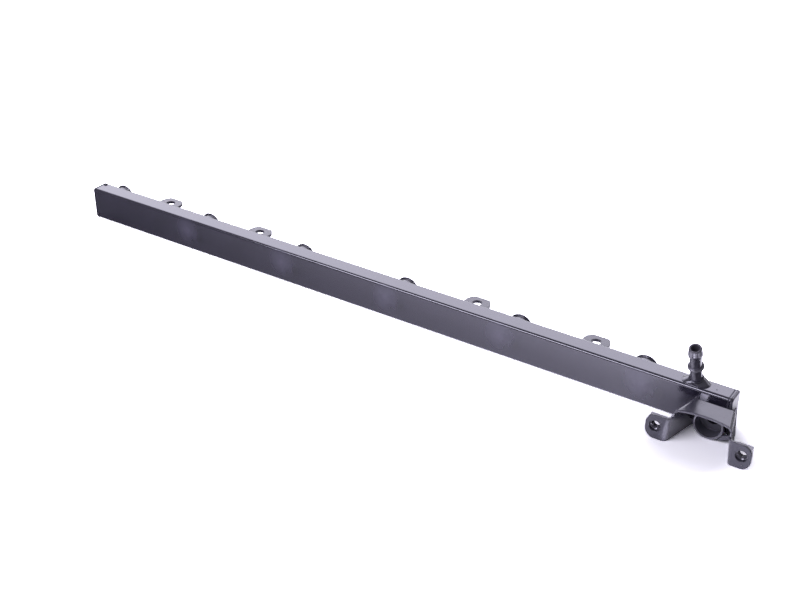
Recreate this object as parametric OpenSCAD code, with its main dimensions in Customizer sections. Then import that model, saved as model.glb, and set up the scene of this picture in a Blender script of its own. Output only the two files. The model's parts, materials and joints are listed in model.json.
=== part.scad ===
// Fuel rail of an in-line six-cylinder engine: a rectangular steel tube with six injector
// cups, four mounting tabs, a leaning hose barb and a folded bracket round the socket of
// the pressure regulator, all brazed or welded and coated black.
// Frame, in millimetres: the origin is the centre of the first injector cup's mouth,
// +X runs along the rail to the bracket, +Y points out of the cups and +Z up.

/* [Rail] */
// Length over both end caps
rail_length = 531.4; // [510:0.1:600]
// Height of the tube
rail_height = 25; // [23:0.5:32]
// Depth of the tube, front face to back face
rail_depth = 14; // [12:0.5:20]
// Wall of the tube
rail_wall = 1.5; // [1:0.1:2]
// Rounding of the tube's long edges
rail_edge_r = 2; // [1.5:0.1:2.5]
// Rounding of the tube's inner edges
rail_inner_r = 0.8; // [0.4:0.1:1.2]
// Rail's left end to the axis of the first cup
rail_lead = 11.3; // [10:0.1:20]
// Width of the round press marks on the front face
press_mark_d = 13; // [8:0.5:16]
// Depth of the press marks
press_mark_depth = 0.3; // [0.15:0.05:0.5]
// Press marks beyond the axes of their cups
press_mark_shift = 5; // [0:0.5:10]
// The same for the last one, beside the bracket
last_mark_shift = 15; // [10:0.5:16]

/* [End caps] */
// Thickness of a cap outside the tube
cap_plate = 1.6; // [1.4:0.1:2.5]
// Rounding of a cap's outer edge
cap_edge_r = 1.2; // [0.6:0.1:1.3]
// Depth of a cap's skirt inside the tube
cap_skirt = 4; // [2:0.5:6]
// Wall of the skirt
cap_wall = 1; // [0.8:0.1:1.4]

/* [Injector cups] */
// Distance between neighbouring cups
cup_pitch = 91; // [84:0.1:91.5]
// Rail's back face to the mouths of the cups
cup_reach = 10; // [9:0.5:14]
// Bore for the injector's seal ring
cup_bore_d = 13.5; // [12:0.1:14.5]
// Wall of a cup
cup_wall = 0.9; // [0.7:0.1:1.2]
// Floor of a cup
cup_floor = 1.2; // [0.8:0.1:1.6]
// Outer diameter of the flared rim
cup_rim_d = 17.8; // [17.5:0.1:19]
// Thickness of the flared rim
cup_rim_t = 1.2; // [0.8:0.1:1.6]
// Lead-in chamfer of the bore
cup_lead_in = 0.8; // [0.4:0.1:1]
// Fuel port in the floor of a cup and in the tube behind it
cup_port_d = 6.5; // [4:0.1:8]

/* [Mounting tabs] */
// Hole of the first two tabs beyond the axis of their cup
tab_offset_left = 41.1; // [30:0.1:55]
// Hole of the last two tabs beyond the axis of their cup
tab_offset_right = 51.9; // [30:0.1:55]
// Width of a tab
tab_width = 18.7; // [16:0.1:22]
// Sheet thickness of a tab
tab_sheet = 2; // [1.5:0.1:2.5]
// Rail's back face to the axis of the tab's hole
tab_hole_reach = 18; // [14:0.5:24]
// Axis of the hole to the tab's straight far edge
tab_edge = 7.5; // [6:0.1:7.9]
// Clearance hole of a tab
tab_hole_d = 6.8; // [5.5:0.1:8]
// Height of the foot that is brazed to the rail
tab_foot = 9; // [6:0.5:10]
// Inner radius of the tab's bend
tab_bend_r = 1.5; // [1:0.1:2.5]

/* [Hose barb] */
// Barb's foot to the right end of the rail
barb_from_end = 26; // [24:0.1:34]
// Lean of the barb towards the front
barb_lean = 21.5; // [0:0.5:24]
// Length of the barb above the rail
barb_length = 32.8; // [31:0.1:40]
// Bore of the barb
barb_bore_d = 5.6; // [4:0.1:6]
// Stem and neck
barb_stem_d = 7.4; // [7:0.1:7.8]
// Stop bead
barb_bead_d = 10.2; // [9.6:0.1:12]
// Thickness of the stop bead
barb_bead_t = 2; // [1.4:0.1:2.6]
// Stop bead's middle to the tip of the barb
barb_bead_from_tip = 17.3; // [14:0.1:20]
// Bulge that the hose is pushed over
barb_bulge_d = 9; // [8.4:0.1:9.4]
// Straight land of the bulge
barb_bulge_land = 2; // [1.5:0.1:3]
// Lower end of the land to the tip of the barb
barb_bulge_from_tip = 6.3; // [5.5:0.1:8]
// Tip of the barb
barb_tip_d = 7.9; // [7:0.1:8.2]
// Chamfer of the tip's outer edge
barb_tip_r = 0.4; // [0.2:0.1:0.6]
// Stem below the rail's top face
barb_insert = 3; // [2.2:0.1:4]

/* [Collar of the barb] */
// Length of the collar along the rail
collar_length = 17; // [14:0.5:20]
// Width of the collar across the rail
collar_width = 11; // [10:0.5:11.5]
// Height of the collar
collar_height = 3.6; // [2.5:0.1:5]
// Edge thickness of the collar
collar_edge = 0.8; // [0.5:0.1:1.2]
// Wall of the collar round the stem
collar_wall = 0.7; // [0.5:0.1:1.2]

/* [Regulator socket] */
// Middle of the socket and bracket to the right end of the rail
regulator_from_end = 9.2; // [9:0.1:11]
// Axis of the socket above the rail's underside
socket_rise = 10.2; // [10.1:0.1:10.2]
// Rail's front face to the mouth of the socket
socket_reach = 12.3; // [10:0.1:14]
// Bore of the socket
socket_bore_d = 16.6; // [14:0.1:17]
// Wall of the socket
socket_wall = 1; // [0.8:0.1:1.1]
// Outer diameter of the rolled lip
socket_lip_d = 20; // [19.4:0.1:20]
// Thickness of the rolled lip
socket_lip_t = 1.8; // [1.2:0.1:2.4]
// Diameter of the narrow neck at the rail
socket_neck_d = 12.6; // [11:0.1:13]
// Length of the neck
socket_neck = 2.6; // [2:0.1:4]
// Fuel port through the neck
socket_port_d = 8; // [5:0.1:9]

/* [Regulator bracket] */
// Sheet thickness of the bracket
sheet = 1.5; // [1.2:0.1:1.6]
// Roof's upper side above the rail's underside
roof_rise = 21.8; // [21.8:0.1:22.5]
// Width over the wings' upper edges at the rail's front face
wing_root_width = 25.2; // [25:0.1:26]
// Angle by which each wing spreads towards its foot
wing_tilt = 4; // [0:0.5:6]
// Inner radius of the fold between roof and wing
roof_fold_r = 1.5; // [1:0.1:2]
// Slot between the roof and the rail's front face
roof_slot = 5.5; // [4:0.1:7]
// Rail's front face to the roof's front corners
roof_reach = 24; // [22:0.1:24.5]
// Depth of the arch in the roof's front edge
roof_arch = 3.4; // [1:0.1:5]
// Rail's front face to the front of the ears
ear_reach = 29; // [28.5:0.1:34]
// Width over both ears
ear_span = 66.2; // [64:0.1:74]
// Height of an ear
ear_height = 17; // [15:0.1:18]
// Rounding of an ear's outer corners
ear_corner_r = 6.5; // [3:0.1:8]
// Inner radius of the bend between wing and ear
ear_bend_r = 2; // [1.5:0.1:3]
// Length of the wings behind the rail's front face, where the right one laps its end
wing_lap = 2.3; // [1.8:0.1:4]
// Outer end of an ear to the axis of its hole
ear_hole_edge = 6.1; // [5.5:0.1:6.3]
// Axis of an ear's hole above the rail's underside
ear_hole_rise = 9; // [8:0.1:10]
// Hole of an ear
ear_hole_d = 7.6; // [6.5:0.1:8]
// Width of the lug between the right wing and the socket
lug_width = 2.8; // [2.5:0.1:4]
// Tilt of the lug
lug_tilt = 22; // [20:1:35]
// Radius of the weld bead outside the left wing
weld_r = 1.3; // [0.8:0.1:1.5]
// Bite of the weld bead between the right wing and the end cap
weld_bite = 0.9; // [0.5:0.1:1.2]
// Length of that bead
weld_length = 17; // [5:0.5:17.5]

/* [Weld nuts] */
// Width across the nut's flats
nut_flats = 10; // [9:0.1:11]
// Height of a nut
nut_height = 5; // [4:0.1:6]
// Thread's core diameter
nut_core_d = 5.1; // [4.2:0.1:5.5]
// Chamfer of the thread's mouth
nut_chamfer = 0.6; // [0.3:0.1:0.9]
// Clearance between a nut and the bend beside it
nut_gap = 0.05; // [0:0.05:0.8]

/* [Fits] */
// Brazing gap round what is inserted
braze_gap = 0.1; // [0.05:0.01:0.2]

/* [Hidden] */

$fn = 64;
// Overlap that takes a cut clear of a face
over = 1;
// Steps of the bend between a wing and its ear
bend_steps = 12;
// A length beyond the size of any piece near the bracket
far = 80;

coat = [0.20, 0.19, 0.23];
fitting_coat = [0.27, 0.26, 0.31];
weld_coat = [0.36, 0.35, 0.40];

// Faces of the rail
rail_left = -rail_lead;
rail_right = rail_left + rail_length;
rail_back = -cup_reach;
rail_front = rail_back - rail_depth;
rail_mid_y = (rail_back + rail_front) / 2;
rail_top = rail_height / 2;
rail_bottom = -rail_height / 2;

cup_x = [for (i = [0:5]) i * cup_pitch];
press_mark_x = concat(
    [for (i = [1:4]) cup_x[i] + press_mark_shift],
    [cup_x[5] + last_mark_shift]
);
tab_x = [
    cup_x[0] + tab_offset_left,
    cup_x[1] + tab_offset_left,
    cup_x[3] + tab_offset_right,
    cup_x[4] + tab_offset_right
];

// The press marks are shallow caps of a sphere
press_mark_r = (pow(press_mark_d / 2, 2) + pow(press_mark_depth, 2)) / (2 * press_mark_depth);

barb_x = rail_right - barb_from_end;
regulator_x = rail_right - regulator_from_end;
socket_z = rail_bottom + socket_rise;

fold_outer_r = roof_fold_r + sheet;

// Centre of the bend between a wing and its ear, in front of the rail
ear_bend_y = -ear_reach + ear_bend_r + sheet;
ear_hole_x = ear_span / 2 - ear_hole_edge;

// The bend ends just beside the lower corner of the nut. Its centre lies this far out from the
// wing's root, in the plane of the wing's upper edge, and that sets how far the wing spreads.
nut_side = ear_hole_x - nut_flats / 2 - nut_gap;
nut_drop = roof_rise - fold_outer_r - ear_hole_rise + nut_flats / 2;
bend_offset = (nut_side - wing_root_width / 2 - nut_drop * tan(wing_tilt)) * cos(wing_tilt);
wing_splay = acos(ear_bend_r / norm([bend_offset, ear_bend_y])) - atan2(-ear_bend_y, bend_offset);

// The fold between roof and wing, seen square to it, turns by less than a right angle
fold_tilt = atan(tan(wing_tilt) * cos(wing_splay));
wall_rise = roof_rise - fold_outer_r * (1 - sin(fold_tilt));

wing_length = (ear_bend_r * sin(wing_splay) - ear_bend_y) / cos(wing_splay);

// Arch of the roof's front edge, through both front corners
roof_half = wing_root_width / 2 + roof_reach * tan(wing_splay);
roof_arch_r = (pow(roof_half, 2) + pow(roof_arch, 2)) / (2 * roof_arch);

// Extrudes a drawing of (Y, Z) from one X to another
module along_x(from, to) {
    translate([from, 0, 0])
        rotate([90, 0, 90])
            linear_extrude(to - from)
                children();
}

module rounded_rectangle(width, height, r) {
    square([width - 2 * r, height], center = true);
    square([width, height - 2 * r], center = true);
    for (side = [-1, 1], level = [-1, 1])
        translate([side * (width / 2 - r), level * (height / 2 - r)])
            circle(r);
}

// Section of a sheet with one square bend: the run lies under y = 0, the drop beside x = 0
module bent_sheet(run, drop, thickness, bend_r) {
    outer_r = bend_r + thickness;
    translate([outer_r, -thickness])
        square([run - outer_r, thickness]);
    translate([outer_r, -outer_r])
        intersection() {
            difference() {
                circle(outer_r);
                circle(bend_r);
            }
            translate([-outer_r, 0])
                square(outer_r);
        }
    translate([0, -drop])
        square([thickness, drop - outer_r]);
}

// The rail's outer form, used to trim what is welded to it
module rail_envelope() {
    along_x(rail_left, rail_right)
        translate([rail_mid_y, 0])
            rounded_rectangle(rail_depth, rail_height, rail_edge_r);
}

// Frame of the barb: the origin on the rail's top face, +Z along the barb
module at_barb() {
    translate([barb_x, rail_mid_y, rail_top])
        rotate([barb_lean, 0, 0])
            children();
}

// Frame of the bracket: the origin under the rail's front face, in the middle plane
module at_bracket() {
    translate([regulator_x, rail_front, rail_bottom])
        children();
}

// Frame of the right wing inside the bracket's: the origin on the upper outer corner of its
// root, tilted with the wing
module at_wing() {
    translate([wing_root_width / 2, 0, wall_rise])
        rotate([0, -wing_tilt, 0])
            children();
}

module rail_tube() {
    color(coat)
        difference() {
            along_x(rail_left + cap_plate, rail_right - cap_plate)
                translate([rail_mid_y, 0])
                    difference() {
                        rounded_rectangle(rail_depth, rail_height, rail_edge_r);
                        rounded_rectangle(
                            rail_depth - 2 * rail_wall, rail_height - 2 * rail_wall, rail_inner_r
                        );
                    }
            for (x = cup_x)
                translate([x, rail_mid_y, 0])
                    rotate([-90, 0, 0])
                        cylinder(h = rail_depth / 2 + over, d = cup_port_d);
            for (x = press_mark_x)
                translate([x, rail_front + press_mark_depth - press_mark_r, 0])
                    sphere(press_mark_r, $fn = 128);
            translate([regulator_x, rail_mid_y, socket_z])
                rotate([90, 0, 0])
                    cylinder(h = rail_depth / 2 + over, d = socket_port_d);
            at_barb()
                translate([0, 0, -barb_insert - over])
                    cylinder(h = barb_insert + 3 * over, d = barb_stem_d + 2 * braze_gap);
        }
}

// Half section of a plate's rounded rim, seen from the centre of its corner
module rim_section(corner_r, edge_r, thickness) {
    square([corner_r - edge_r, thickness]);
    square([corner_r, thickness - edge_r]);
    translate([corner_r - edge_r, thickness - edge_r])
        intersection() {
            circle(edge_r);
            square(edge_r);
        }
}

// Plate with rounded corners whose upper edge is rounded all the way round
module pillow_plate(width, height, corner_r, edge_r, thickness) {
    half_w = width / 2 - corner_r;
    half_h = height / 2 - corner_r;
    translate([-half_w, -half_h, 0])
        cube([2 * half_w, 2 * half_h, thickness]);
    for (flip_x = [0, 1], flip_y = [0, 1])
        mirror([flip_x, 0, 0])
            mirror([0, flip_y, 0])
                translate([half_w, half_h, 0])
                    rotate_extrude(angle = 90)
                        rim_section(corner_r, edge_r, thickness);
    for (flip = [0, 1]) {
        mirror([flip, 0, 0])
            translate([half_w, half_h, 0])
                rotate([90, 0, 0])
                    linear_extrude(2 * half_h)
                        rim_section(corner_r, edge_r, thickness);
        mirror([0, flip, 0])
            translate([-half_w, half_h, 0])
                rotate([90, 0, 90])
                    linear_extrude(2 * half_w)
                        rim_section(corner_r, edge_r, thickness);
    }
}

// Pressed cap: the plate closes the tube and the skirt seats inside it
module end_cap() {
    skirt_width = rail_depth - 2 * rail_wall - 2 * braze_gap;
    skirt_height = rail_height - 2 * rail_wall - 2 * braze_gap;
    color(coat)
        rotate([90, 0, 90]) {
            pillow_plate(rail_depth, rail_height, rail_edge_r, cap_edge_r, cap_plate);
            translate([0, 0, -cap_skirt])
                linear_extrude(cap_skirt)
                    difference() {
                        rounded_rectangle(skirt_width, skirt_height, rail_inner_r);
                        square([skirt_width - 2 * cap_wall, skirt_height - 2 * cap_wall], center = true);
                    }
        }
}

module end_cap_right() {
    translate([rail_right - cap_plate, rail_mid_y, 0])
        end_cap();
}

module end_cap_left() {
    translate([rail_left + cap_plate, rail_mid_y, 0])
        mirror([1, 0, 0])
            end_cap();
}

// Half section of a drawn cup: floor, wall, flared rim and lead-in
module cup_section() {
    bore_r = cup_bore_d / 2;
    outer_r = bore_r + cup_wall;
    rim_r = cup_rim_d / 2;
    flare_r = rim_r - cup_rim_t / 2 - outer_r;
    rim_z = cup_reach - cup_rim_t;
    translate([cup_port_d / 2, 0])
        square([outer_r - cup_port_d / 2, cup_floor]);
    difference() {
        union() {
            translate([bore_r, 0])
                square([cup_wall, cup_reach]);
            translate([bore_r, rim_z])
                square([rim_r - cup_rim_t / 2 - bore_r, cup_rim_t]);
            translate([rim_r - cup_rim_t / 2, rim_z + cup_rim_t / 2])
                circle(cup_rim_t / 2);
            translate([outer_r, rim_z - flare_r])
                difference() {
                    square(flare_r);
                    translate([flare_r, 0])
                        circle(flare_r);
                }
        }
        polygon([
            [bore_r - over, cup_reach - cup_lead_in - over],
            [bore_r + cup_lead_in + over, cup_reach + over],
            [bore_r - over, cup_reach + over]
        ]);
    }
}

module injector_cup(i) {
    color(fitting_coat)
        translate([cup_x[i], rail_back, 0])
            rotate([-90, 0, 0])
                rotate_extrude()
                    cup_section();
}

// Plan of a tab: a strip that ends in a round round the hole, cut straight at the far edge
module tab_plan() {
    translate([-tab_width / 2, 0])
        square([tab_width, tab_hole_reach]);
    translate([0, tab_hole_reach])
        intersection() {
            circle(tab_width / 2);
            translate([-tab_width / 2, 0])
                square([tab_width, tab_edge]);
        }
}

module mounting_tab(i) {
    reach = tab_hole_reach + tab_edge;
    color(coat)
        translate([tab_x[i], rail_back, tab_sheet / 2])
            difference() {
                intersection() {
                    along_x(-tab_width, tab_width)
                        bent_sheet(reach + over, tab_foot, tab_sheet, tab_bend_r);
                    translate([0, 0, -tab_foot - over])
                        linear_extrude(tab_foot + 2 * over)
                            tab_plan();
                }
                translate([0, tab_hole_reach, -tab_sheet - over])
                    cylinder(h = tab_sheet + 2 * over, d = tab_hole_d);
            }
}

// Half section of the barb, from its end inside the rail to its tip
module barb_section() {
    bore_r = barb_bore_d / 2;
    stem_r = barb_stem_d / 2;
    bead_z = barb_length - barb_bead_from_tip;
    bulge_z = barb_length - barb_bulge_from_tip;
    bulge_r = barb_bulge_d / 2;
    tip_r = barb_tip_d / 2;
    translate([bore_r, -barb_insert])
        square([stem_r - bore_r, bulge_z + barb_insert]);
    translate([stem_r - barb_bead_t / 2, bead_z - barb_bead_t / 2])
        square([barb_bead_d / 2 - stem_r, barb_bead_t]);
    translate([barb_bead_d / 2 - barb_bead_t / 2, bead_z])
        circle(barb_bead_t / 2);
    polygon([
        [bore_r, bulge_z - 2 * (bulge_r - stem_r)],
        [stem_r, bulge_z - 2 * (bulge_r - stem_r)],
        [bulge_r, bulge_z],
        [bulge_r, bulge_z + barb_bulge_land],
        [tip_r, barb_length - barb_tip_r],
        [tip_r - barb_tip_r, barb_length],
        [bore_r, barb_length]
    ]);
}

module hose_barb() {
    color(fitting_coat)
        at_barb()
            rotate_extrude()
                barb_section();
}

// Oval foot that rises like a tent to the leaning stem
module barb_collar() {
    half_run = (collar_length - collar_width) / 2;
    color(fitting_coat)
        difference() {
            hull() {
                translate([barb_x, rail_mid_y, rail_top])
                    for (side = [-1, 1])
                        translate([side * half_run, 0, 0])
                            cylinder(h = collar_edge, d = collar_width, $fn = 32);
                at_barb()
                    translate([0, 0, collar_height - collar_edge])
                        cylinder(h = collar_edge, d = barb_stem_d + 2 * collar_wall, $fn = 32);
            }
            at_barb()
                translate([0, 0, -2 * over])
                    cylinder(h = collar_height + 4 * over, d = barb_stem_d + 2 * braze_gap);
        }
}

// Half section of the socket: neck at the rail, cup with a rolled lip at the mouth
module socket_section() {
    bore_r = socket_bore_d / 2;
    lip_r = socket_lip_d / 2;
    lip_round = socket_lip_t / 2;
    translate([socket_port_d / 2, 0])
        square([(socket_neck_d - socket_port_d) / 2, socket_neck]);
    translate([socket_port_d / 2, socket_neck])
        square([bore_r + socket_wall - socket_port_d / 2, socket_wall]);
    translate([bore_r, socket_neck])
        square([socket_wall, socket_reach - socket_neck - lip_round]);
    translate([bore_r, socket_reach - socket_lip_t])
        square([lip_r - lip_round - bore_r, socket_lip_t]);
    translate([lip_r - lip_round, socket_reach - lip_round])
        intersection() {
            circle(lip_round);
            translate([-lip_round / 2, -lip_round])
                square(2 * lip_round);
        }
}

module regulator_socket() {
    color(fitting_coat)
        translate([regulator_x, rail_front, socket_z])
            rotate([90, 0, 0])
                rotate_extrude()
                    socket_section();
}

// Plan of one wing, from the outer corner of its root
module wing_plan() {
    rotate(wing_splay)
        translate([-sheet, -wing_length])
            square([sheet, wing_length + wing_lap + over]);
}

// Points along an arc
function arc(centre, r, from, to) = [
    for (k = [0:bend_steps])
        let (angle = from + (to - from) * k / bend_steps)
            centre + r * [cos(angle), sin(angle)]
];

// Plan of one wing and its ear: a straight wall, a bend and a straight end
module wall_plan() {
    along_wing = [-sin(wing_splay), cos(wing_splay)];
    across_wing = [cos(wing_splay), sin(wing_splay)];
    bend_centre = ear_bend_r * across_wing - wing_length * along_wing;
    wing_end = (wing_lap + over) * along_wing;
    bend_outer = ear_bend_r + sheet;
    polygon(concat(
        [wing_end, wing_end - sheet * across_wing],
        arc(bend_centre, bend_outer, 180 + wing_splay, 270),
        [[ear_span / 2, bend_centre.y - bend_outer], [ear_span / 2, bend_centre.y - ear_bend_r]],
        arc(bend_centre, ear_bend_r, 270, 180 + wing_splay)
    ));
}

// Front view of one wing and ear, with the ear's rounded outer corners
module wall_front() {
    corner_x = ear_span / 2 - ear_corner_r;
    square([corner_x, wall_rise]);
    translate([corner_x, ear_corner_r])
        square([ear_corner_r, ear_height - 2 * ear_corner_r]);
    for (z = [ear_corner_r, ear_height - ear_corner_r])
        translate([corner_x, z])
            circle(ear_corner_r);
}

// Side view of a wing: full height under the roof, then down to the ear's height
module wall_side() {
    polygon([
        [wing_lap, 0],
        [wing_lap, wall_rise],
        [-roof_reach, wall_rise],
        [ear_bend_y, ear_height],
        [-ear_reach - over, ear_height],
        [-ear_reach - over, 0]
    ]);
}

module wing_and_ear() {
    difference() {
        intersection() {
            at_wing()
                translate([0, 0, -far / 2])
                    linear_extrude(far)
                        wall_plan();
            translate([0, far, 0])
                rotate([90, 0, 0])
                    linear_extrude(2 * far)
                        wall_front();
            along_x(0, far)
                wall_side();
        }
        translate([ear_hole_x, -ear_reach - over, ear_hole_rise])
            rotate([-90, 0, 0])
                cylinder(h = sheet + 2 * over, d = ear_hole_d);
    }
}

// Plan of the right half of the roof, straight at the rail and arched at the front
module roof_half_plan() {
    difference() {
        translate([0, -roof_reach])
            square([far, roof_reach - roof_slot]);
        translate([0, -roof_reach + roof_arch - roof_arch_r])
            circle(roof_arch_r, $fn = 256);
    }
}

// Section of the roof and its fold, from the upper outer corner of the wing's wall
module fold_section() {
    translate([-fold_outer_r * cos(fold_tilt), -fold_outer_r * sin(fold_tilt)]) {
        intersection() {
            difference() {
                circle(fold_outer_r);
                circle(roof_fold_r);
            }
            polygon([
                [0, 0],
                2 * fold_outer_r * [cos(fold_tilt), sin(fold_tilt)],
                2 * fold_outer_r * [1, 1],
                [0, 2 * fold_outer_r]
            ]);
        }
        translate([-far, roof_fold_r])
            square([far, sheet]);
    }
}

module roof_and_fold() {
    intersection() {
        translate([wing_root_width / 2, 0, wall_rise])
            rotate([0, 0, wing_splay])
                rotate([90, 0, 0])
                    linear_extrude(far)
                        fold_section();
        linear_extrude(far)
            roof_half_plan();
    }
}

// Lug that ties the right wing to the lip of the socket, its lower edge tangent to the lip
module socket_lug() {
    lug_y = -socket_reach + socket_lip_t;
    wing_inside = wing_root_width / 2 - sheet - lug_y * tan(wing_splay)
        + (wall_rise - socket_rise / 2) * tan(wing_tilt);
    difference() {
        intersection() {
            translate([0, lug_y, socket_rise])
                rotate([90, -lug_tilt, 0])
                    translate([socket_lip_d / 6, -socket_lip_d / 2, 0])
                        cube([socket_lip_d, lug_width, sheet]);
            translate([0, -far, 0])
                cube([wing_inside + sheet / 2, 2 * far, far]);
        }
        translate([0, 0, socket_rise])
            rotate([90, 0, 0])
                cylinder(h = socket_reach + over, d = socket_lip_d + 2 * braze_gap);
    }
}

module regulator_bracket() {
    color(coat)
        difference() {
            at_bracket() {
                for (flip = [0, 1])
                    mirror([flip, 0, 0]) {
                        wing_and_ear();
                        roof_and_fold();
                    }
                socket_lug();
            }
            rail_envelope();
        }
}

// Square nut behind an ear, with chamfered thread mouths
module weld_nut(side) {
    color(fitting_coat)
        at_bracket()
            translate([side * ear_hole_x, -ear_reach + sheet, ear_hole_rise])
                rotate([-90, 0, 0])
                    difference() {
                        translate([-nut_flats / 2, -nut_flats / 2, 0])
                            cube([nut_flats, nut_flats, nut_height]);
                        translate([0, 0, -over])
                            cylinder(h = nut_height + 2 * over, d = nut_core_d);
                        cylinder(h = nut_chamfer, d1 = nut_core_d + 2 * nut_chamfer, d2 = nut_core_d);
                        translate([0, 0, nut_height - nut_chamfer])
                            cylinder(h = nut_chamfer, d1 = nut_core_d, d2 = nut_core_d + 2 * nut_chamfer);
                    }
}

// Weld bead outside the left wing, in the corner with the rail's front face
module bracket_weld_left() {
    bead_foot = rail_edge_r + over;
    color(weld_coat)
        at_bracket()
            mirror([1, 0, 0])
                intersection() {
                    at_wing()
                        translate([0, 0, -wall_rise])
                            linear_extrude(2 * wall_rise)
                                intersection() {
                                    circle(weld_r);
                                    polygon([
                                        [0, 0],
                                        [2 * weld_r, 0],
                                        [2 * weld_r, -2 * weld_r],
                                        2 * weld_r * [sin(wing_splay), -cos(wing_splay)]
                                    ]);
                                }
                    translate([0, -far, bead_foot])
                        cube([far, 2 * far, wall_rise - bead_foot]);
                }
}

// Plan of the rail's right end, with the rounded edge of its cap
module rail_end_plan() {
    translate([-far, 0])
        square([far + regulator_from_end - cap_edge_r, rail_depth]);
    translate([-far, cap_edge_r])
        square([far + regulator_from_end, rail_depth - cap_edge_r]);
    translate([regulator_from_end - cap_edge_r, cap_edge_r])
        circle(cap_edge_r);
}

// Weld bead that fills the groove between the right wing and the edge of the end cap
module bracket_weld_right() {
    groove_side = wing_root_width / 2 - sheet;
    bead_r = (groove_side - regulator_from_end) / 2 + weld_bite;
    bead_foot = wall_rise - weld_length - over;
    color(weld_coat)
        at_bracket()
            difference() {
                translate([(groove_side + regulator_from_end) / 2, 0, bead_foot])
                    intersection() {
                        cylinder(h = weld_length, r = bead_r);
                        translate([-bead_r, -bead_r, 0])
                            cube([2 * bead_r, bead_r + cap_edge_r, weld_length]);
                    }
                linear_extrude(wall_rise)
                    rail_end_plan();
                at_wing()
                    translate([0, 0, -wall_rise])
                        linear_extrude(2 * wall_rise)
                            wing_plan();
            }
}

rail_tube();
end_cap_left();
end_cap_right();
injector_cup(0);  // injector_cup_1
injector_cup(1);  // injector_cup_2
injector_cup(2);  // injector_cup_3
injector_cup(3);  // injector_cup_4
injector_cup(4);  // injector_cup_5
injector_cup(5);  // injector_cup_6
mounting_tab(0);  // mounting_tab_1
mounting_tab(1);  // mounting_tab_2
mounting_tab(2);  // mounting_tab_3
mounting_tab(3);  // mounting_tab_4
hose_barb();
barb_collar();
regulator_socket();
regulator_bracket();
weld_nut(-1);  // weld_nut_left
weld_nut(1);  // weld_nut_right
bracket_weld_left();
bracket_weld_right();
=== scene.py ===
import json
import math

import bmesh
import bpy
from mathutils import Matrix, Vector


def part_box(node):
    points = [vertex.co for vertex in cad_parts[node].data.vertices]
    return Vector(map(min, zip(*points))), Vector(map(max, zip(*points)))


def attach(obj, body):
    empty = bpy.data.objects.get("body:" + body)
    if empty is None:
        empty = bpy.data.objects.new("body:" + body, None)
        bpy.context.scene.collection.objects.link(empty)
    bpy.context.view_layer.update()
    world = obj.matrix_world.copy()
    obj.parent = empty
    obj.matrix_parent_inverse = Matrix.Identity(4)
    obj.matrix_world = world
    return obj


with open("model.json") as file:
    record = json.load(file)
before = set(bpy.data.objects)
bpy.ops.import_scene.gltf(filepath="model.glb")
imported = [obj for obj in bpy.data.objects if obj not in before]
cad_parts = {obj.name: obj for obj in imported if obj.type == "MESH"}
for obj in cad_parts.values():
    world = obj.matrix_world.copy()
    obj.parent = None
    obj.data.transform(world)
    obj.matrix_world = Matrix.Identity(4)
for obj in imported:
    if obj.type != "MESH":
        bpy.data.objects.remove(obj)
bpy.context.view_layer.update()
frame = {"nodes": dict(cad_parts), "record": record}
nodes = frame["nodes"]
record = frame["record"]

MM = 0.001


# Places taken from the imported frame

def mount(name):
    """Position and axis of a mount, in metres."""
    found = next(m for m in record["mounts"] if m["name"] == name)
    return Vector(found["pos_m"]), Vector(found["axis"]).normalized()


tube_low, tube_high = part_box("rail_tube")
rail_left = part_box("end_cap_left")[0].x
rail_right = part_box("end_cap_right")[1].x
rail_back, rail_front = tube_high.y, tube_low.y
rail_top, rail_floor = tube_high.z, tube_low.z
rail_mid = Vector((0, (rail_back + rail_front) / 2, (rail_top + rail_floor) / 2))

CUPS = [f"injector_cup_{i}" for i in range(1, 7)]
TABS = [f"mounting_tab_{i}" for i in range(1, 5)]

# Front press marks: one beside each of cups 2 to 5, and one beside cup 6
MARK_SHIFT = 5 * MM
LAST_MARK_SHIFT = 15 * MM
# Nick in the top face, and X of the dull line beside the right cap's seam
NICK = Vector((0.5079, -0.0186, rail_top))
END_LINE = tube_high.x - 1.3 * MM


# Materials

# Cool violet cast of the coat's reflections
SHEEN_TINT = (0.90, 0.88, 1.0)
# Size of the cloudy changes of tone and of gloss
CLOUD_SIZE = 18 * MM
HAZE_SIZE = 7 * MM
# Places round a press mark for its painted highlight haze, painted shade spot and painted shade rim,
# as X and Z from its middle, and the radii in which each fades
SHEEN_PAINT_AT, SHEEN_PAINT_REACH = (-9 * MM, 3 * MM), (1 * MM, 13 * MM)
SHADE_SPOT_AT, SHADE_SPOT_REACH = (3.5 * MM, -1 * MM), (1.5 * MM, 5 * MM)
SHADE_RIM_AT, SHADE_RIM_REACH = (-4 * MM, -4 * MM), (0.5 * MM, 4 * MM)
NICK_REACH = (0.3 * MM, 0.9 * MM)
LINE_REACH = (0.3 * MM, 0.6 * MM)
# What those places add as painted highlight to, or take as painted shade from, the share of the light
# tone, and add to the roughness
PAINTED_SHEEN_SHARE = 6.0
PAINTED_SHADE_SHARE = 2.0
DULL_GLOSS = 0.6
# The same for the coat inside a bore, which is made rougher and painted lighter as painted light in
# the bore's shade
BORE_PAINTED_LIGHT = 1.5
BORE_GLOSS = 0.45


def shader_tree(name):
    """A new material with an empty tree and its output node."""
    material = bpy.data.materials.new(name)
    material.use_nodes = True
    tree = material.node_tree
    tree.nodes.clear()
    output = tree.nodes.new("ShaderNodeOutputMaterial")
    return material, tree, output


def noise(tree, scale, detail, coordinates):
    """Noise texture in the object's own coordinates."""
    texture = tree.nodes.new("ShaderNodeTexNoise")
    texture.inputs["Scale"].default_value = scale
    texture.inputs["Detail"].default_value = detail
    tree.links.new(coordinates.outputs["Object"], texture.inputs["Vector"])
    return texture


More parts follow.
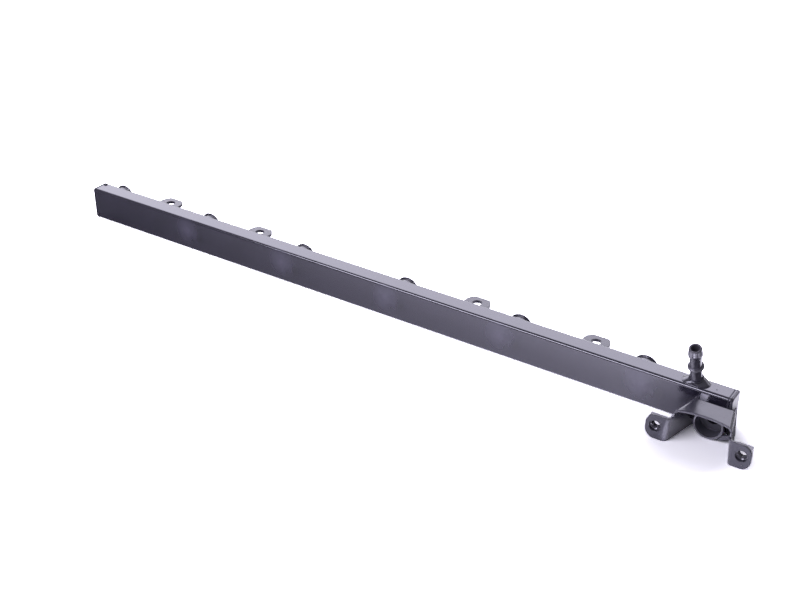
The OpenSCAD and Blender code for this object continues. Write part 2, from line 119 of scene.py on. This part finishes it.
def spread(tree, source, low, high):
    """Maps a noise value, which stays near one half, to a range."""
    node = tree.nodes.new("ShaderNodeMapRange")
    node.inputs["From Min"].default_value = 0.3
    node.inputs["From Max"].default_value = 0.7
    node.inputs["To Min"].default_value = low
    node.inputs["To Max"].default_value = high
    tree.links.new(source, node.inputs["Value"])
    return node.outputs["Result"]


def distance(tree, coordinates, point):
    """Distance of the shaded place from a point, in metres."""
    node = tree.nodes.new("ShaderNodeVectorMath")
    node.operation = "DISTANCE"
    node.inputs[1].default_value = point
    tree.links.new(coordinates.outputs["Object"], node.inputs[0])
    return node.outputs["Value"]


def ramp(tree, source, start, end, low=0.0, high=1.0):
    """Goes from low to high while the source goes from start to end."""
    node = tree.nodes.new("ShaderNodeMapRange")
    node.inputs["From Min"].default_value = start
    node.inputs["From Max"].default_value = end
    node.inputs["To Min"].default_value = low
    node.inputs["To Max"].default_value = high
    tree.links.new(source, node.inputs["Value"])
    return node.outputs["Result"]


def math_node(tree, operation, first, second):
    """Result of one arithmetic step; the second value is a socket or a number."""
    node = tree.nodes.new("ShaderNodeMath")
    node.operation = operation
    tree.links.new(first, node.inputs[0])
    if isinstance(second, float):
        node.inputs[1].default_value = second
    else:
        tree.links.new(second, node.inputs[1])
    return node.outputs[0]


def near(tree, coordinates, points, inner, outer):
    """1 within the inner radius of any of the points, 0 beyond the outer radius."""
    masks = [ramp(tree, distance(tree, coordinates, point), inner, outer, 1, 0) for point in points]
    most = masks[0]
    for mask in masks[1:]:
        most = math_node(tree, "MAXIMUM", most, mask)
    return most


def within_bore(tree, coordinates, place, axis, radius):
    """1 inside a round bore, 0 outside it."""
    offset = tree.nodes.new("ShaderNodeVectorMath")
    offset.operation = "SUBTRACT"
    offset.inputs[1].default_value = place
    tree.links.new(coordinates.outputs["Object"], offset.inputs[0])
    turned_off = tree.nodes.new("ShaderNodeVectorMath")
    turned_off.operation = "CROSS_PRODUCT"
    turned_off.inputs[1].default_value = axis
    tree.links.new(offset.outputs["Vector"], turned_off.inputs[0])
    length = tree.nodes.new("ShaderNodeVectorMath")
    length.operation = "LENGTH"
    tree.links.new(turned_off.outputs["Vector"], length.inputs[0])
    return ramp(tree, length.outputs["Value"], radius, radius + 0.2 * MM, 1, 0)


def coat_material(name, dark, light, rough, ior, grain, bump, edge=0.0, change=None):
    """Glossy dip coat: uneven tone, uneven gloss and a fine orange peel.

    dark and light are the two tones, and rough is the range of the roughness. grain is the size
    of the peel, bump its height and edge the radius to which the coat rounds sharp edges, in
    millimetres. change may add marks: it is given the share of the light tone and the roughness
    and returns them changed.
    """
    material, tree, output = shader_tree(name)
    coordinates = tree.nodes.new("ShaderNodeTexCoord")
    shader = tree.nodes.new("ShaderNodeBsdfPrincipled")
    shader.inputs["IOR"].default_value = ior
    shader.inputs["Specular Tint"].default_value = (*SHEEN_TINT, 1)
    tone = tree.nodes.new("ShaderNodeMix")
    tone.data_type = "RGBA"
    tone.inputs["A"].default_value = (*dark, 1)
    tone.inputs["B"].default_value = (*light, 1)
    cloud = noise(tree, 1 / CLOUD_SIZE, 4, coordinates)
    haze = noise(tree, 1 / HAZE_SIZE, 5, coordinates)
    share = spread(tree, cloud.outputs["Fac"], 0, 1)
    gloss = spread(tree, haze.outputs["Fac"], *rough)
    if change:
        share, gloss = change(tree, coordinates, share, gloss)
    tone.clamp_factor = False
    tree.links.new(share, tone.inputs["Factor"])
    tree.links.new(tone.outputs["Result"], shader.inputs["Base Color"])
    tree.links.new(gloss, shader.inputs["Roughness"])
    peel = noise(tree, 1 / (grain * MM), 3, coordinates)
    relief = tree.nodes.new("ShaderNodeBump")
    relief.inputs["Strength"].default_value = 1
    relief.inputs["Distance"].default_value = bump * MM
    tree.links.new(peel.outputs["Fac"], relief.inputs["Height"])
    if edge:
        rounded = tree.nodes.new("ShaderNodeBevel")
        rounded.samples = 8
        rounded.inputs["Radius"].default_value = edge * MM
        tree.links.new(rounded.outputs["Normal"], relief.inputs["Normal"])
    tree.links.new(relief.outputs["Normal"], shader.inputs["Normal"])
    tree.links.new(shader.outputs["BSDF"], output.inputs["Surface"])
    return material


def press_mark_painted_light(tree, coordinates, share, gloss):
    """Painted highlight haze and painted shade spots at each press mark, a nick in the top and the
    dull end line.
    """
    marks = [mount(f"injector_bore_{i}")[0].x + MARK_SHIFT for i in range(2, 6)]
    marks.append(mount("injector_bore_6")[0].x + LAST_MARK_SHIFT)

    def beside(place, reach):
        points = [Vector((x + place[0], rail_front, place[1])) for x in marks]
        return near(tree, coordinates, points, *reach)

    # Painted highlight haze, and a painted shade spot and rim, beside each press mark
    painted_sheen = beside(SHEEN_PAINT_AT, SHEEN_PAINT_REACH)
    dark = math_node(tree, "MAXIMUM", beside(SHADE_SPOT_AT, SHADE_SPOT_REACH), beside(SHADE_RIM_AT, SHADE_RIM_REACH))
    share = math_node(tree, "ADD", share, math_node(tree, "MULTIPLY", painted_sheen, PAINTED_SHEEN_SHARE))
    share = math_node(tree, "SUBTRACT", share, math_node(tree, "MULTIPLY", dark, PAINTED_SHADE_SHARE))
    nick = near(tree, coordinates, [NICK], *NICK_REACH)
    parts = tree.nodes.new("ShaderNodeSeparateXYZ")
    tree.links.new(coordinates.outputs["Object"], parts.inputs["Vector"])
    from_line = math_node(tree, "SUBTRACT", parts.outputs["X"], END_LINE)
    line = ramp(tree, math_node(tree, "ABSOLUTE", from_line, 0.0), *LINE_REACH, 1, 0)
    dull = math_node(tree, "MAXIMUM", nick, line)
    return share, math_node(tree, "ADD", gloss, math_node(tree, "MULTIPLY", dull, DULL_GLOSS))


def rough_bore_painted_light(name, radius):
    """Change that makes the coat inside a bore rough and paints it a little lighter, as painted light
    in the bore's shade.
    """
    place, axis = mount(name)

    def change(tree, coordinates, share, gloss):
        inside = within_bore(tree, coordinates, place, axis, radius)
        gloss = math_node(tree, "ADD", gloss, math_node(tree, "MULTIPLY", inside, BORE_GLOSS))
        # Painted light: the coat inside the bore is painted lighter
        share = math_node(tree, "ADD", share, math_node(tree, "MULTIPLY", inside, BORE_PAINTED_LIGHT))
        return share, gloss

    return change


# Radii up to which the coat counts as inside the bore of the socket and of the barb
SOCKET_BORE_R = 8.35 * MM
BARB_BORE_R = 3.0 * MM

rail_coat = coat_material(
    "rail_coat", (0.022, 0.020, 0.036), (0.032, 0.029, 0.050), (0.10, 0.15), 2.0, 2.5, 0.0008,
    change=press_mark_painted_light)
sheet_coat = coat_material(
    "sheet_coat", (0.032, 0.030, 0.048), (0.046, 0.043, 0.066), (0.20, 0.28), 1.78, 2.0, 0.0015,
    0.75)
cap_coat = coat_material(
    "cap_coat", (0.030, 0.028, 0.044), (0.045, 0.042, 0.062), (0.10, 0.16), 1.88, 1.6, 0.0012)
# Coat of the turned and drawn fittings, in the order that coat_material takes
FITTING = ((0.030, 0.028, 0.044), (0.050, 0.047, 0.066), (0.10, 0.18), 2.0, 1.2, 0.002, 0.25)
fitting_coat = coat_material("fitting_coat", *FITTING)
# The barb's coat is the fittings' coat painted lighter: painted light standing in for the reflections
# that brighten the barb
barb_coat_painted_light = coat_material(
    "barb_coat_painted_light", (0.080, 0.075, 0.100), (0.110, 0.103, 0.135), (0.10, 0.18), 2.3, 1.2, 0.002,
    0.25, rough_bore_painted_light("hose_barb", BARB_BORE_R))
socket_coat = coat_material(
    "socket_coat", *FITTING[:-1], 0.8, rough_bore_painted_light("regulator_bore", SOCKET_BORE_R))
weld_coat = coat_material(
    "weld_coat", (0.040, 0.038, 0.052), (0.080, 0.076, 0.100), (0.18, 0.34), 1.9, 0.8, 0.02)


def dress(node, material):
    """Puts a material on a CAD node."""
    data = nodes[node].data
    data.materials.clear()
    data.materials.append(material)


dress("rail_tube", rail_coat)
for name in ("end_cap_left", "end_cap_right"):
    dress(name, cap_coat)
for name in TABS + ["regulator_bracket"]:
    dress(name, sheet_coat)
for name in CUPS + ["barb_collar", "weld_nut_left", "weld_nut_right"]:
    dress(name, fitting_coat)
dress("hose_barb", barb_coat_painted_light)
dress("regulator_socket", socket_coat)
for name in ("bracket_weld_left", "bracket_weld_right"):
    dress(name, weld_coat)


# Detail pieces: braze, weld and thread

# Depth to which a detail piece reaches into the metal under it
SINK = 0.2 * MM
# Radius of the rail's long edges, and outer radii of a cup's wall and of the socket's neck
RAIL_EDGE = 2 * MM
CUP_OUTER = 7.65 * MM
NECK_OUTER = 6.3 * MM
# Barb's stem and the height of the collar round it
STEM_R = 3.7 * MM
COLLAR_TOP = 4.1 * MM
# Radii of the beads of braze, and widths of the fillets
SEAM_BEAD = 0.35 * MM
TAB_BEAD = 0.8 * MM
COLLAR_BEAD = 0.6 * MM
CUP_FILLET = 1.1 * MM
SOCKET_FILLET = 1.0 * MM
# Corner of the bead round a tab's foot, and the height at which it ends
TAB_CORNER = 0.6 * MM
TAB_BEAD_TOP = -1 * MM
# Thread of a weld nut: pitch, radius of its ridge's middle, the ridge and the plain ends
THREAD_PITCH = 1.0 * MM
THREAD_R = 2.5 * MM
THREAD_RIDGE = 0.28 * MM
THREAD_LEAD = 0.7 * MM
THREAD_STEPS = 24


def add_piece(name, rings, closed, material):
    """Smooth skin over rings of points; closed joins the last ring to the first."""
    mesh = bpy.data.meshes.new(name)
    skin = bmesh.new()
    rows = [[skin.verts.new(point) for point in ring] for ring in rings]
    pairs = list(zip(rows, rows[1:] + rows[:1])) if closed else list(zip(rows, rows[1:]))
    for row, following in pairs:
        for k in range(len(row)):
            skin.faces.new((row[k - 1], row[k], following[k], following[k - 1]))
    if not closed:
        skin.faces.new(rows[0])
        skin.faces.new(reversed(rows[-1]))
    bmesh.ops.recalc_face_normals(skin, faces=skin.faces)
    skin.to_mesh(mesh)
    skin.free()
    mesh.shade_smooth()
    mesh.materials.append(material)
    piece = bpy.data.objects.new(name, mesh)
    bpy.context.scene.collection.objects.link(piece)
    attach(piece, "root")
    return piece


def across(axis):
    """Two unit vectors square to an axis and to each other."""
    axis = axis.normalized()
    helper = Vector((0, 0, 1)) if abs(axis.z) < 0.9 else Vector((1, 0, 0))
    first = axis.cross(helper).normalized()
    return first, axis.cross(first)


def sweep(path, radius, closed=False, sides=10):
    """Rings of a round bead along a path."""
    rings = []
    for k, point in enumerate(path):
        before = path[k - 1] if k or closed else point
        after = path[(k + 1) % len(path)] if k + 1 < len(path) or closed else point
        first, second = across(after - before)
        if rings and first.dot(last_first) < 0:
            first, second = -first, -second
        last_first = first
        rings.append([
            point + radius * (math.cos(a) * first + math.sin(a) * second)
            for a in (2 * math.pi * j / sides for j in range(sides))])
    return rings


def turned(profile, foot, axis, steps=48):
    """Rings of a closed profile of (radius, height) points turned about an axis."""
    first, second = across(axis)
    return [
        [foot + height * axis + radius * (math.cos(a) * first + math.sin(a) * second)
         for radius, height in profile]
        for a in (2 * math.pi * k / steps for k in range(steps))]


def fillet_profile(radius, size, hollow=5):
    """Concave fillet between a round wall of a radius and the face at its foot."""
    arc = [
        (radius + size * (1 - math.cos(a)), size * (1 - math.sin(a)))
        for a in (math.pi / 2 * k / hollow for k in range(hollow + 1))]
    return arc + [(radius + size, -SINK), (radius - SINK, -SINK), (radius - SINK, size)]


def rounded_section(x, low, high, r, steps=6):
    """Points of the rail's outline at one X, from corner to corner."""
    corners = (
        (high.y - r, high.z - r, 0), (low.y + r, high.z - r, 90),
        (low.y + r, low.z + r, 180), (high.y - r, low.z + r, 270))
    return [
        Vector((x, y + r * math.cos(math.radians(start + 90 * k / steps)),
                z + r * math.sin(math.radians(start + 90 * k / steps))))
        for y, z, start in corners for k in range(steps + 1)]


def blob(name, place, axis, width, height, material):
    """Drop of weld metal; width is its radius at the foot."""
    middle_r = 0.02 * width
    profile = [
        (width * math.cos(a), height * math.sin(a)) for a in (math.pi / 2 * k / 6 for k in range(6))]
    profile += [(middle_r, height), (middle_r, -SINK), (width, -SINK)]
    return add_piece(name, turned(profile, place, axis, 20), True, material)


def seam_beads():
    """Bead of braze along the seam between the tube and each cap."""
    for name, x in (("seam_bead_left", tube_low.x), ("seam_bead_right", tube_high.x)):
        path = rounded_section(x, tube_low, tube_high, RAIL_EDGE)
        rings = sweep(path, SEAM_BEAD, closed=True, sides=8)
        add_piece(name, rings, True, rail_coat)


def cup_fillets():
    """Fillet of braze round the foot of each injector cup."""
    for cup in CUPS:
        low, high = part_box(cup)
        foot = Vector(((low.x + high.x) / 2, rail_back, (low.z + high.z) / 2))
        _, axis = mount(cup.replace("cup", "bore"))
        rings = turned(fillet_profile(CUP_OUTER, CUP_FILLET), foot, axis)
        add_piece(f"{cup}_braze", rings, True, weld_coat)


def tab_fillets():
    """Bead of braze down both sides of each tab's foot and along its lower edge."""
    for tab in TABS:
        low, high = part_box(tab)
        outline = (
            (low.x, TAB_BEAD_TOP), (low.x, low.z + TAB_CORNER), (low.x + TAB_CORNER, low.z),
            (high.x - TAB_CORNER, low.z), (high.x, low.z + TAB_CORNER), (high.x, TAB_BEAD_TOP))
        path = [Vector((x, rail_back, z)) for x, z in outline]
        add_piece(f"{tab}_braze", sweep(path, TAB_BEAD), False, weld_coat)


def barb_braze():
    """Ring of braze round the stem on top of the collar, and the bead round the collar's foot."""
    on_barb, axis = mount("hose_barb")
    foot = on_barb - axis * ((on_barb.z - rail_top) / axis.z)
    ring = [
        (STEM_R + (0.35 + 0.75 * math.cos(a)) * MM, COLLAR_TOP + 0.6 * math.sin(a) * MM)
        for a in (2 * math.pi * k / 10 for k in range(10))]
    add_piece("barb_braze_ring", turned(ring, foot, axis), True, rail_coat)
    low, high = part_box("barb_collar")
    r = (high.y - low.y) / 2
    centre = Vector(((low.x + high.x) / 2, (low.y + high.y) / 2, rail_top))
    half_run = (high.x - low.x) / 2 - r
    path = [
        centre + Vector((side * half_run + r * math.cos(a), r * math.sin(a), 0))
        for side, start in ((1, -90), (-1, 90))
        for a in (math.radians(start + 180 * k / 16) for k in range(17))]
    rings = sweep(path, COLLAR_BEAD, closed=True)
    add_piece("collar_braze_bead", rings, True, rail_coat)


def socket_fillet():
    """Fillet of braze round the socket's neck."""
    place, axis = mount("regulator_bore")
    foot = Vector((place.x, rail_front, place.z))
    rings = turned(fillet_profile(NECK_OUTER, SOCKET_FILLET), foot, axis)
    add_piece("socket_braze", rings, True, weld_coat)


def nut_threads():
    """Helical ridge of the thread in each weld nut."""
    for side in ("left", "right"):
        place, axis = mount(f"bracket_thread_{side}")
        low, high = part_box(f"weld_nut_{side}")
        first, second = across(axis)
        start = Vector((place.x, low.y + THREAD_LEAD, place.z))
        turns = (high.y - low.y - 2 * THREAD_LEAD) / THREAD_PITCH
        path = []
        for k in range(int(turns * THREAD_STEPS) + 1):
            a = 2 * math.pi * k / THREAD_STEPS
            along = Vector((0, THREAD_PITCH * k / THREAD_STEPS, 0))
            path.append(start + along + THREAD_R * (math.cos(a) * first + math.sin(a) * second))
        rings = sweep(path, THREAD_RIDGE, sides=6)
        add_piece(f"nut_thread_{side}", rings, False, fitting_coat)


def weld_tacks():
    """Drops of weld metal at the left end's corners."""
    up, front = Vector((0, 0, 1)), Vector((0, -1, 0))
    on_top = Vector((-7.8 * MM, -13.1 * MM, rail_top))
    on_front = Vector((-8.8 * MM, rail_front, -9.6 * MM))
    blob("tack_top", on_top, up, 1.6 * MM, 1.1 * MM, rail_coat)
    blob("tack_front", on_front, front, 1.3 * MM, 1.3 * MM, weld_coat)


seam_beads()
cup_fillets()
tab_fillets()
barb_braze()
socket_fillet()
nut_threads()
weld_tacks()


# Stage: floor, room, lamps and camera

FLOOR_WHITE = (0.95, 0.945, 0.97)
FLOOR_HALF = 1.3
# How much brighter the floor looks to the camera than it is: beside the bracket, whose shadow
# shows, and away from it, where it reads as pure white; and where the one turns into the other
CAMERA_LIFT = (2.15, 4.0)
SHADOW_REACH = (0.024, 0.045)
shadow_middle = Vector((0.503, -0.050, rail_floor))
# How much brighter it looks in reflections, and the share of that at each X: it rises along
# the rail, dips at the left ear and falls off past the right one
MIRROR_LIFT = 3.4
MIRROR_SHARES = (
    (-0.011, 0.088), (0.13, 0.235), (0.29, 0.53), (0.45, 0.88), (0.482, 0.55), (0.51, 0.95),
    (0.552, 0.95), (0.575, 0.12))
# Painted shade on the floor beside the bracket, seen only in reflections, and the radii inside and
# outside its soft rim
shade_patch_middle = Vector((0.524, -0.012, rail_floor))
SHADE_PATCH_REACH = (0.014, 0.021)
SHADE_PATCH_SHARE = 0.12
# Patch of floor painted bright in reflections only, a painted highlight that runs down the left ear's
# bend
glint_patch_middle = Vector((0.497, -0.062, rail_floor))
GLINT_PATCH_REACH = (0.007, 0.012)
GLINT_PATCH_LIFT = 8.0
# Tint of the room, its brightness as a light, and that of its dim parts in reflections
ROOM_TINT = (0.97, 0.96, 1)
FILL = 0.15
DIM = 0.26
# Sine of the elevation at which the white backdrop starts to fade and has faded out
WALL_RISE = (0.2, 0.6)
# Direction in which the backdrop stands, and how far round it fades
BACKDROP = (-0.50, 0.866, 0.0)
WALL_TURN = (0.55, 0.75)
# Lamps: place, whether it faces the right end or the middle, width, height and brightness, where
# 1 is white
LAMP_TINT = (0.96, 0.945, 1.06)
LAMPS = {
    "back_softbox": ((-0.42, 1.20, 0.85), "middle", 2.8, 1.1, 2.35),
    "side_softbox": ((1.22, 1.15, 0.46), "right end", 0.35, 0.7, 1.4),
    "front_softbox": ((-0.15, -0.95, 0.94), "middle", 1.0, 0.45, 7.0),
}
# The photograph's camera: focal length in pixels of an 800 pixel wide frame, place and angles
CAMERA_PLACE = (0.68751, -0.65380, 0.43913)
FOCAL_PX = 1251.52
FRAME_PX = 800
SENSOR = 36.0
YAW, PITCH, ROLL = (math.radians(angle) for angle in (-32.80, 30.11, 0.65))


def ray_switch(tree, *rays):
    """1 for the kinds of ray named, 0 for all others."""
    path = tree.nodes.new("ShaderNodeLightPath")
    value = path.outputs[rays[0]]
    for ray in rays[1:]:
        value = math_node(tree, "MAXIMUM", value, path.outputs[ray])
    return value


def mixed(tree, factor, first, second):
    """First shader where the factor is 0, second where it is 1."""
    mix = tree.nodes.new("ShaderNodeMixShader")
    tree.links.new(factor, mix.inputs["Fac"])
    tree.links.new(first, mix.inputs[1])
    tree.links.new(second, mix.inputs[2])
    return mix.outputs["Shader"]


def floor_material():
    """White floor that keeps its shadows and is overexposed to the camera and in reflections, where
    it also carries a patch of painted shade and a patch of painted highlight.
    """
    material, tree, output = shader_tree("floor_white")

    def diffuse(lift):
        node = tree.nodes.new("ShaderNodeBsdfDiffuse")
        node.inputs["Color"].default_value = (*[lift * c for c in FLOOR_WHITE], 1)
        return node.outputs["BSDF"]

    coordinates = tree.nodes.new("ShaderNodeTexCoord")
    parts = tree.nodes.new("ShaderNodeSeparateXYZ")
    tree.links.new(coordinates.outputs["Object"], parts.inputs["Vector"])
    first, last = MIRROR_SHARES[0][0], MIRROR_SHARES[-1][0]
    shares = tree.nodes.new("ShaderNodeValToRGB")
    stops = shares.color_ramp.elements
    while len(stops) < len(MIRROR_SHARES):
        stops.new(0.5)
    for stop, (place, share) in zip(stops, MIRROR_SHARES):
        stop.position = (place - first) / (last - first)
        stop.color = (share, share, share, 1)
    tree.links.new(ramp(tree, parts.outputs["X"], first, last), shares.inputs["Fac"])
    bright = mixed(tree, shares.outputs["Color"], diffuse(0), diffuse(MIRROR_LIFT))
    # Painted shade: the floor seen in reflections is darker beside the bracket
    beside = ramp(tree, distance(tree, coordinates, shade_patch_middle), *SHADE_PATCH_REACH)
    with_shade_patch = mixed(tree, beside, diffuse(MIRROR_LIFT * SHADE_PATCH_SHARE), bright)
    # Painted highlight: a patch of floor that glows in reflections only
    on_glint_patch = near(tree, coordinates, [glint_patch_middle], *GLINT_PATCH_REACH)
    mirrored = mixed(tree, on_glint_patch, with_shade_patch, diffuse(GLINT_PATCH_LIFT))
    shiny = ray_switch(tree, "Is Glossy Ray", "Is Transmission Ray")
    plain = mixed(tree, shiny, diffuse(1), mirrored)
    far = ramp(tree, distance(tree, coordinates, shadow_middle), *SHADOW_REACH)
    lifted = mixed(tree, far, diffuse(CAMERA_LIFT[0]), diffuse(CAMERA_LIFT[1]))
    seen = mixed(tree, ray_switch(tree, "Is Camera Ray"), plain, lifted)
    tree.links.new(seen, output.inputs["Surface"])
    return material


def build_floor():
    """Square floor under the rail, small enough that its far part doesn't turn grey."""
    mesh = bpy.data.meshes.new("floor")
    corners = [
        (x * FLOOR_HALF, y * FLOOR_HALF, rail_floor) for x, y in ((-1, -1), (1, -1), (1, 1), (-1, 1))]
    mesh.from_pydata(corners, [], [(0, 1, 2, 3)])
    floor = bpy.data.objects.new("floor", mesh)
    bpy.context.scene.collection.objects.link(floor)
    mesh.materials.append(floor_material())


def build_world():
    """White to the camera, a white backdrop in a dim room in reflections, a soft fill elsewhere."""
    world = bpy.data.worlds.new("studio")
    bpy.context.scene.world = world
    world.use_nodes = True
    tree = world.node_tree
    tree.nodes.clear()
    output = tree.nodes.new("ShaderNodeOutputWorld")

    def background(colour, strength):
        node = tree.nodes.new("ShaderNodeBackground")
        node.inputs["Color"].default_value = (*colour, 1)
        node.inputs["Strength"].default_value = strength
        return node.outputs["Background"]

    white = background((1, 1, 1), 1)
    coordinates = tree.nodes.new("ShaderNodeTexCoord")
    parts = tree.nodes.new("ShaderNodeSeparateXYZ")
    tree.links.new(coordinates.outputs["Generated"], parts.inputs["Vector"])
    turn = tree.nodes.new("ShaderNodeVectorMath")
    turn.operation = "DOT_PRODUCT"
    turn.inputs[1].default_value = BACKDROP
    tree.links.new(coordinates.outputs["Generated"], turn.inputs[0])
    low = ramp(tree, parts.outputs["Z"], *WALL_RISE, 1, 0)
    behind = ramp(tree, turn.outputs["Value"], *WALL_TURN)
    room = mixed(
        tree, math_node(tree, "MULTIPLY", low, behind), background(ROOM_TINT, DIM), white)
    shiny = ray_switch(tree, "Is Glossy Ray", "Is Transmission Ray")
    unseen = mixed(tree, shiny, background(ROOM_TINT, FILL), room)
    seen = mixed(tree, ray_switch(tree, "Is Camera Ray"), unseen, white)
    tree.links.new(seen, output.inputs["Surface"])


def build_lamps():
    """Rectangular lamps that face their targets."""
    targets = {
        "middle": Vector(((rail_left + rail_right) / 2, rail_mid.y, 0)),
        "right end": Vector((rail_right, rail_mid.y, 0)),
    }
    for name, (place, target, width, height, level) in LAMPS.items():
        lamp = bpy.data.lights.new(name, "AREA")
        lamp.shape = "RECTANGLE"
        lamp.size = width
        lamp.size_y = height
        lamp.energy = level * math.pi * width * height
        lamp.color = LAMP_TINT
        stand = bpy.data.objects.new(name, lamp)
        stand.location = place
        towards = targets[target] - Vector(place)
        stand.rotation_euler = towards.to_track_quat("-Z", "Y").to_euler()
        bpy.context.scene.collection.objects.link(stand)


def build_camera():
    """Camera that shows the part as the photograph does."""
    ahead = Vector((
        math.sin(YAW) * math.cos(PITCH), math.cos(YAW) * math.cos(PITCH), -math.sin(PITCH)))
    level = Vector((math.cos(YAW), -math.sin(YAW), 0))
    above = level.cross(ahead)
    right = math.cos(ROLL) * level + math.sin(ROLL) * above
    up = -math.sin(ROLL) * level + math.cos(ROLL) * above
    data = bpy.data.cameras.new("camera")
    data.sensor_width = SENSOR
    data.lens = FOCAL_PX * SENSOR / FRAME_PX
    data.clip_start = 0.01
    camera = bpy.data.objects.new("camera", data)
    turn = Matrix((right, up, -ahead)).transposed().to_4x4()
    camera.matrix_world = Matrix.Translation(CAMERA_PLACE) @ turn
    bpy.context.scene.collection.objects.link(camera)
    bpy.context.scene.camera = camera


build_floor()
build_world()
build_camera()
build_lamps()

bpy.context.scene.view_settings.view_transform = "Standard"
